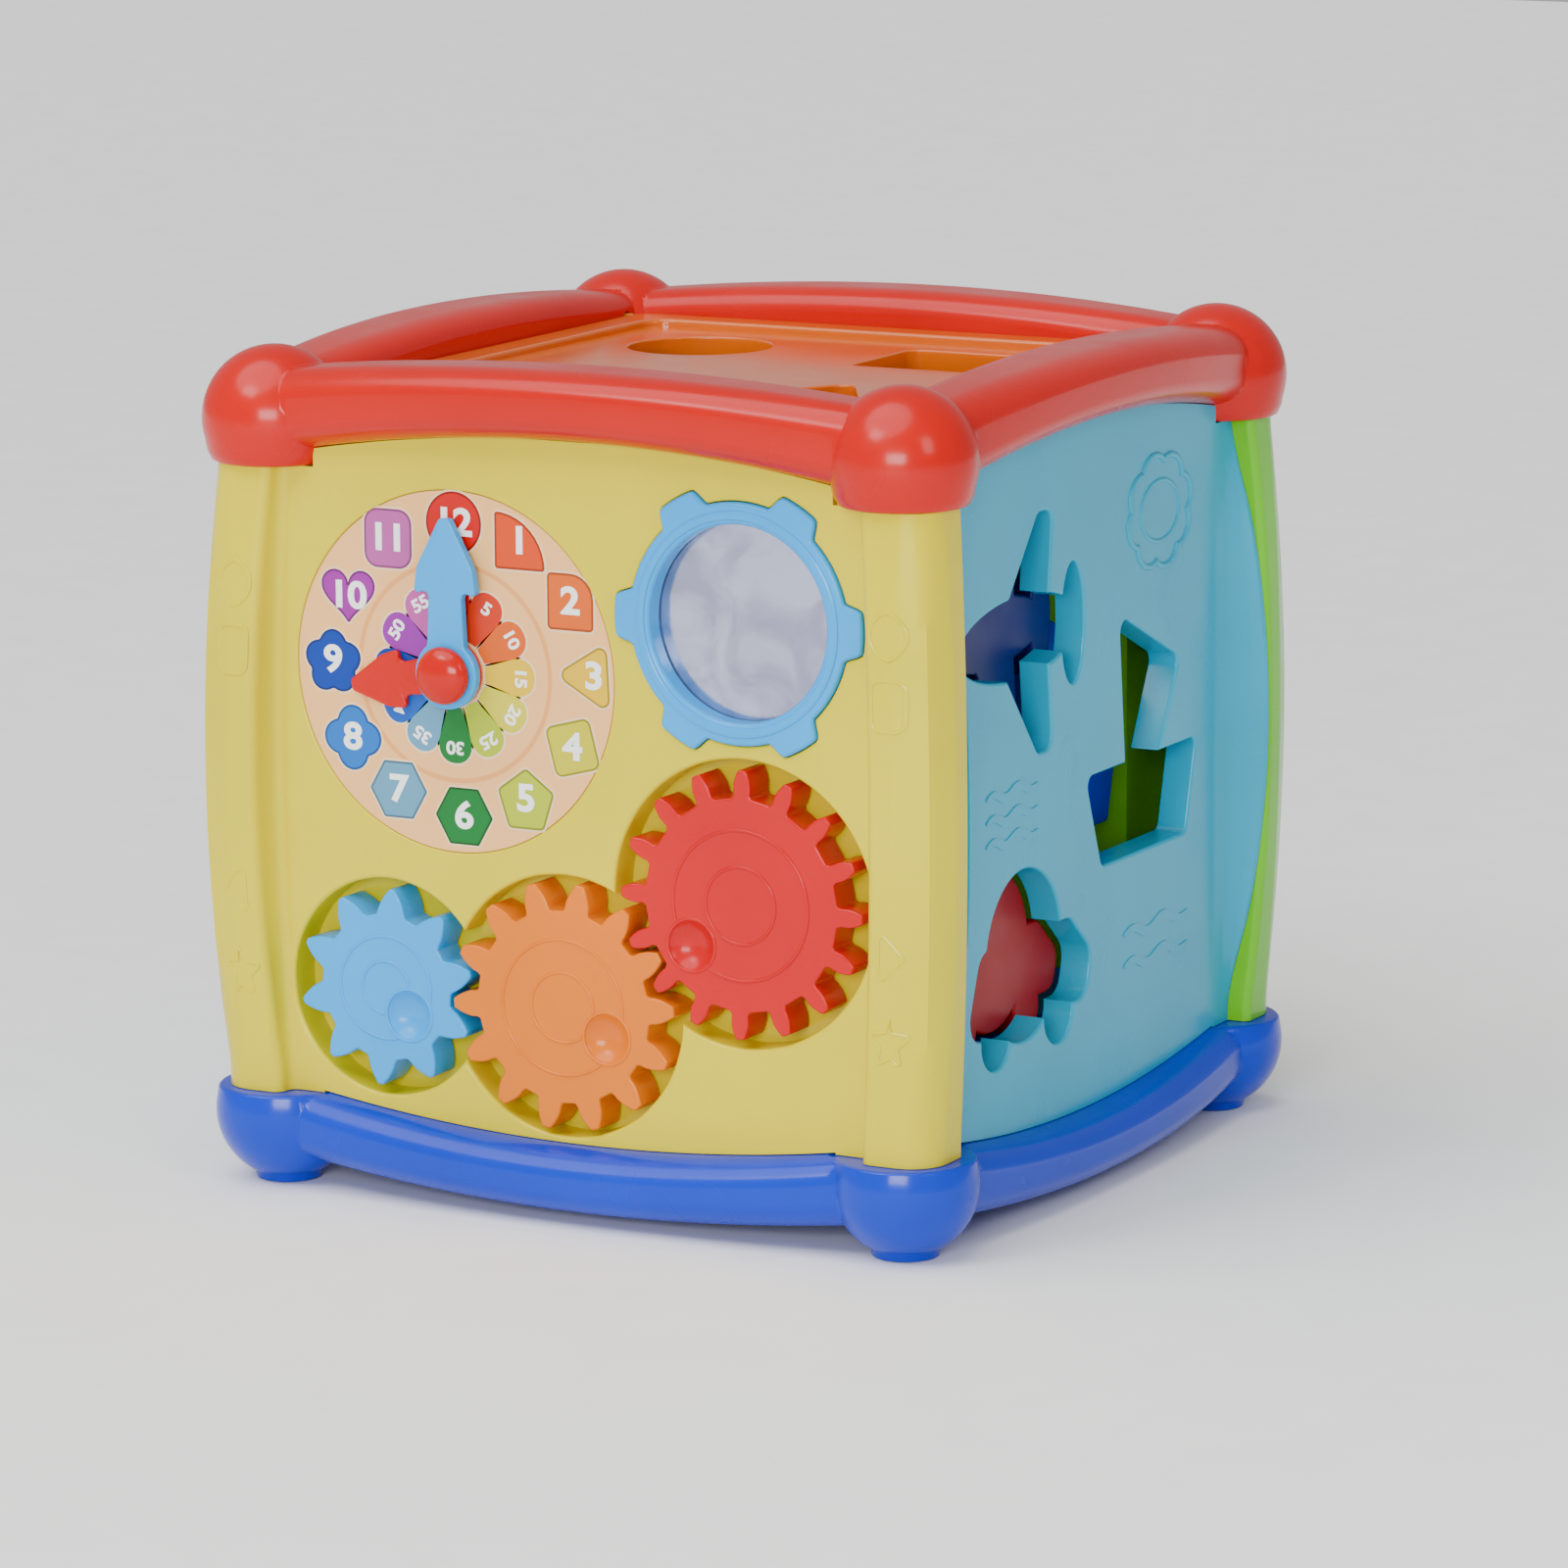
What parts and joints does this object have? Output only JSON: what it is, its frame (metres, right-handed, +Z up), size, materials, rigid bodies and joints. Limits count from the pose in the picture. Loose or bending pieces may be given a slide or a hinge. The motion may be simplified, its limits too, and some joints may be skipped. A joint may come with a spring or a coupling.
{
  "type": "baby activity cube",
  "caption": "Hollow plastic baby activity cube with a clock, a mirror, turning gears, a shape sorter, sliders, a spinner and a music panel.",
  "frame": {"origin": "on the table under the middle of the cube", "axes": "+Z up, the clock and gear face looks along -Y, the shape sorter face looks along +X"},
  "size_m": [0.1808, 0.1808, 0.181],
  "materials": {
    "red_plastic": "glossy moulded",
    "yellow_plastic": "glossy moulded",
    "blue_plastic": "glossy moulded",
    "cyan_plastic": "glossy moulded",
    "sky_plastic": "glossy moulded",
    "green_plastic": "glossy moulded",
    "orange_plastic": "glossy moulded",
    "clear_orange_plastic": "translucent",
    "navy_plastic": "glossy moulded",
    "purple_plastic": "glossy moulded",
    "white_plastic": "satin",
    "black_plastic": "matte",
    "lamp_lens": "translucent",
    "printed_dial": "printed satin film",
    "mirror": "polished acrylic mirror",
    "steel": "plated",
    "battery_jacket": "printed film",
    "circuit_board": "solder resist",
    "red_wire": "satin"
  },
  "bodies": {
    "cube": {"top_frame": "red_plastic", "base_tray": "blue_plastic", "base_screw_1": "steel", "base_screw_2": "steel", "base_screw_3": "steel", "base_screw_4": "steel", "battery_1": "battery_jacket", "battery_2": "battery_jacket", "contact_spring": "steel", "contact_plate": "steel", "front_panel": "yellow_plastic", "clock_dial": "printed_dial", "clock_post": "red_plastic", "clock_washer": "white_plastic", "mirror_bezel": "sky_plastic", "mirror_glass": "mirror", "right_panel": "cyan_plastic", "left_panel": "cyan_plastic", "roller_axle": "steel", "back_panel": "green_plastic", "light_lens": "lamp_lens", "music_housing": "green_plastic", "circuit_board": "circuit_board", "speaker": "black_plastic", "battery_lead": "red_wire"},
    "battery_door": {"battery_door": "blue_plastic", "battery_door_screw": "steel"},
    "lid": {"sorter_lid": "clear_orange_plastic"},
    "red_gear": {"gear_red": "red_plastic", "gear_red_screw": "steel"},
    "orange_gear": {"gear_orange": "orange_plastic", "gear_orange_screw": "steel"},
    "blue_gear": {"gear_blue": "sky_plastic", "gear_blue_screw": "steel"},
    "minute_hand": {"minute_hand": "sky_plastic"},
    "hour_hand": {"hour_hand": "red_plastic"},
    "spinner": {"spinner": "orange_plastic", "spinner_screw": "steel"},
    "roller": {"roller": "yellow_plastic"},
    "slider_1": {"slider_knob_1": "red_plastic"},
    "slider_2": {"slider_knob_2": "green_plastic"},
    "key_1": {"piano_key_1": "red_plastic"},
    "key_2": {"piano_key_2": "orange_plastic"},
    "key_3": {"piano_key_3": "yellow_plastic"},
    "key_4": {"piano_key_4": "sky_plastic"},
    "key_5": {"piano_key_5": "purple_plastic"},
    "drum": {"drum_button": "orange_plastic"},
    "switch": {"power_switch": "white_plastic"},
    "plane": {"plane_block": "navy_plastic"},
    "boat": {"boat_block": "blue_plastic"},
    "car": {"car_block": "red_plastic"},
    "round": {"round_block": "red_plastic"},
    "square": {"square_block": "blue_plastic"},
    "triangle": {"triangle_block": "yellow_plastic"},
    "star": {"star_block": "green_plastic"}
  },
  "joints": [
    {"name": "lid_hinge", "type": "hinge", "parent": "cube", "child": "lid", "pos_m": [0, 0.061, 0.1709], "axis": [-1, 0, 0], "range_deg": [0, 95]},
    {"name": "red_gear_turn", "type": "hinge", "parent": "cube", "child": "red_gear", "pos_m": [0.04044, -0.078, 0.07163], "axis": [0, 1, 0], "continuous": true},
    {"name": "orange_gear_turn", "type": "hinge", "parent": "cube", "child": "orange_gear", "pos_m": [-0.0022, -0.078, 0.0459], "axis": [0, 1, 0], "continuous": true},
    {"name": "blue_gear_turn", "type": "hinge", "parent": "cube", "child": "blue_gear", "pos_m": [-0.0455, -0.078, 0.0459], "axis": [0, 1, 0], "continuous": true},
    {"name": "minute_hand_turn", "type": "hinge", "parent": "cube", "child": "minute_hand", "pos_m": [-0.0281, -0.083, 0.115], "axis": [0, 1, 0], "continuous": true},
    {"name": "hour_hand_turn", "type": "hinge", "parent": "cube", "child": "hour_hand", "pos_m": [-0.0281, -0.0815, 0.115], "axis": [0, 1, 0], "continuous": true},
    {"name": "spinner_turn", "type": "hinge", "parent": "cube", "child": "spinner", "pos_m": [-0.083, 0.033, 0.1215], "axis": [-1, 0, 0], "continuous": true},
    {"name": "roller_turn", "type": "hinge", "parent": "cube", "child": "roller", "pos_m": [-0.074, -0.033, 0.1215], "axis": [0, 1, 0], "continuous": true},
    {"name": "slider_1_slide", "type": "slide", "parent": "cube", "child": "slider_1", "axis": [0, -1, 0], "range_m": [-0.012, 0.028]},
    {"name": "slider_2_slide", "type": "slide", "parent": "cube", "child": "slider_2", "axis": [0, 1, 0], "range_m": [-0.012, 0.028]},
    {"name": "key_1_press", "type": "slide", "parent": "cube", "child": "key_1", "axis": [0, -1, 0], "range_m": [0, 0.0025], "stiffness_N_per_m": 300},
    {"name": "key_2_press", "type": "slide", "parent": "cube", "child": "key_2", "axis": [0, -1, 0], "range_m": [0, 0.0025], "stiffness_N_per_m": 300},
    {"name": "key_3_press", "type": "slide", "parent": "cube", "child": "key_3", "axis": [0, -1, 0], "range_m": [0, 0.0025], "stiffness_N_per_m": 300},
    {"name": "key_4_press", "type": "slide", "parent": "cube", "child": "key_4", "axis": [0, -1, 0], "range_m": [0, 0.0025], "stiffness_N_per_m": 300},
    {"name": "key_5_press", "type": "slide", "parent": "cube", "child": "key_5", "axis": [0, -1, 0], "range_m": [0, 0.0025], "stiffness_N_per_m": 300},
    {"name": "drum_press", "type": "slide", "parent": "cube", "child": "drum", "axis": [0, -1, 0], "range_m": [0, 0.0025], "stiffness_N_per_m": 300},
    {"name": "switch_slide", "type": "slide", "parent": "cube", "child": "switch", "axis": [-1, 0, 0], "range_m": [0, 0.006]},
    {"name": "battery_door_off", "type": "slide", "parent": "cube", "child": "battery_door", "axis": [0, 0, -1], "range_m": [0, 0.02]},
    {"name": "plane_block_push", "type": "slide", "parent": "cube", "child": "plane", "axis": [1, 0, 0], "range_m": [0, 0.06]},
    {"name": "boat_block_push", "type": "slide", "parent": "cube", "child": "boat", "axis": [1, 0, 0], "range_m": [0, 0.06]},
    {"name": "car_block_push", "type": "slide", "parent": "cube", "child": "car", "axis": [1, 0, 0], "range_m": [0, 0.06]},
    {"name": "round_block_lift", "type": "slide", "parent": "cube", "child": "round", "axis": [0, 0, 1], "range_m": [0, 0.18]},
    {"name": "square_block_lift", "type": "slide", "parent": "cube", "child": "square", "axis": [0, 0, 1], "range_m": [0, 0.18]},
    {"name": "triangle_block_lift", "type": "slide", "parent": "cube", "child": "triangle", "axis": [0, 0, 1], "range_m": [0, 0.18]},
    {"name": "star_block_lift", "type": "slide", "parent": "cube", "child": "star", "axis": [0, 0, 1], "range_m": [0, 0.18]}
  ],
  "couplings": [
    {"joint": "orange_gear_turn", "follows": "red_gear_turn", "ratio": -1.1429},
    {"joint": "blue_gear_turn", "follows": "red_gear_turn", "ratio": 1.6}
  ]
}
